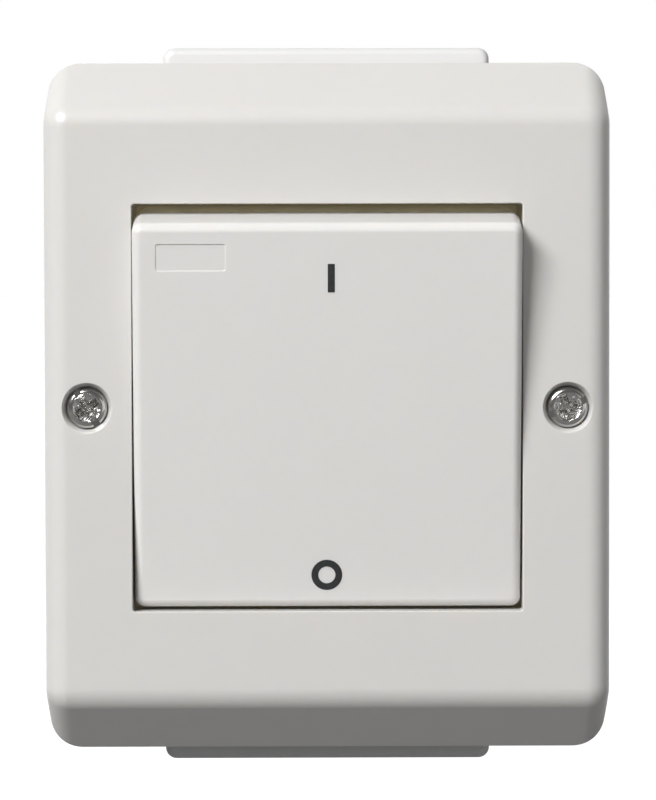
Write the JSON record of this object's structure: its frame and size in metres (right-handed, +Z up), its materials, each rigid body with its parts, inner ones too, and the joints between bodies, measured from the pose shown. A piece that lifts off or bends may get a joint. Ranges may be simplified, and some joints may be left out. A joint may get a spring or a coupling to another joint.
{
  "type": "outdoor weatherproof switch",
  "caption": "Surface-mounted weatherproof light switch: chamfered cover on a wall box, large tilting rocker, sealed mechanism and cable-entry pads.",
  "frame": {"origin": "middle of the box's back face, in the wall plane", "axes": "+X to the right, +Y into the wall, +Z up; the rocker faces -Y"},
  "size_m": [0.081, 0.0569, 0.104],
  "materials": {
    "cover_plastic": "smooth moulded cream white with a soft gloss",
    "rocker_plastic": "smooth moulded cream white with a soft gloss",
    "box_plastic": "smooth moulded cream white",
    "seal_rubber": "matte black elastomer",
    "boot_rubber": "matte olive grey elastomer",
    "grommet_rubber": "matte light grey elastomer",
    "frame_plastic": "light grey moulding",
    "housing_plastic": "dark grey thermoset moulding",
    "actuator_plastic": "natural white moulding",
    "plated_steel": "zinc-plated sheet",
    "screw_steel": "bright nickel-plated",
    "zinc_screws": "zinc-plated",
    "spring_steel": "drawn spring wire",
    "brass_parts": "turned and stamped brass",
    "contact_brass": "stamped brass with silvered tips"
  },
  "bodies": {
    "base": {"back_box": "box_plastic", "cover": "cover_plastic", "box_seal": "seal_rubber", "screw_seal_left": "seal_rubber", "screw_seal_right": "seal_rubber", "rocker_boot": "boot_rubber", "entry_grommet_top_left": "grommet_rubber", "entry_grommet_top_right": "grommet_rubber", "entry_grommet_bottom_left": "grommet_rubber", "entry_grommet_bottom_right": "grommet_rubber", "boot_clamp_frame": "frame_plastic", "bearing_bridge": "frame_plastic", "mechanism_housing": "housing_plastic", "support_plate": "plated_steel", "cover_screw_left": "screw_steel", "cover_screw_right": "screw_steel", "support_screw_top_left": "zinc_screws", "support_screw_top_right": "zinc_screws", "support_screw_bottom_left": "zinc_screws", "support_screw_bottom_right": "zinc_screws", "bridge_screw_left": "zinc_screws", "bridge_screw_right": "zinc_screws", "terminal_screw_top_left": "zinc_screws", "terminal_screw_top_right": "zinc_screws", "terminal_screw_bottom_left": "zinc_screws", "terminal_screw_bottom_right": "zinc_screws", "thread_insert_left": "brass_parts", "thread_insert_right": "brass_parts", "terminal_clamp_top_left": "brass_parts", "terminal_clamp_top_right": "brass_parts", "terminal_clamp_bottom_left": "brass_parts", "terminal_clamp_bottom_right": "brass_parts", "pivot_contact_left": "contact_brass", "pivot_contact_right": "contact_brass", "fixed_contact_left": "contact_brass", "fixed_contact_right": "contact_brass"},
    "rocker": {"rocker_plate": "rocker_plastic", "actuator": "actuator_plastic", "plunger_spring_left": "spring_steel", "plunger_spring_right": "spring_steel"},
    "left_plunger": {"plunger_left": "actuator_plastic"},
    "right_plunger": {"plunger_right": "actuator_plastic"},
    "left_contact": {"contact_rocker_left": "contact_brass"},
    "right_contact": {"contact_rocker_right": "contact_brass"}
  },
  "joints": [
    {"name": "rocker_tilt", "type": "hinge", "parent": "base", "child": "rocker", "pos_m": [0, -0.0433, 0], "axis": [-1, 0, 0], "range_deg": [0, 14], "deforming": ["rocker_boot"]},
    {"name": "left_plunger_slide", "type": "slide", "parent": "rocker", "child": "left_plunger", "axis": [0, -0.9925, -0.1219], "range_m": [0, 0.0008], "stiffness_N_per_m": 300, "springref_m": -0.002, "deforming": ["plunger_spring_left"]},
    {"name": "left_contact_tilt", "type": "hinge", "parent": "base", "child": "left_contact", "pos_m": [-0.009, -0.02775, 0], "axis": [1, 0, 0], "range_deg": [0, 16]},
    {"name": "right_plunger_slide", "type": "slide", "parent": "rocker", "child": "right_plunger", "axis": [0, -0.9925, -0.1219], "range_m": [0, 0.0008], "stiffness_N_per_m": 300, "springref_m": -0.002, "deforming": ["plunger_spring_right"]},
    {"name": "right_contact_tilt", "type": "hinge", "parent": "base", "child": "right_contact", "pos_m": [0.009, -0.02775, 0], "axis": [1, 0, 0], "range_deg": [0, 16]}
  ],
  "couplings": [
    {"joint": "left_contact_tilt", "follows": "rocker_tilt", "ratio": 1.1429},
    {"joint": "right_contact_tilt", "follows": "rocker_tilt", "ratio": 1.1429}
  ]
}
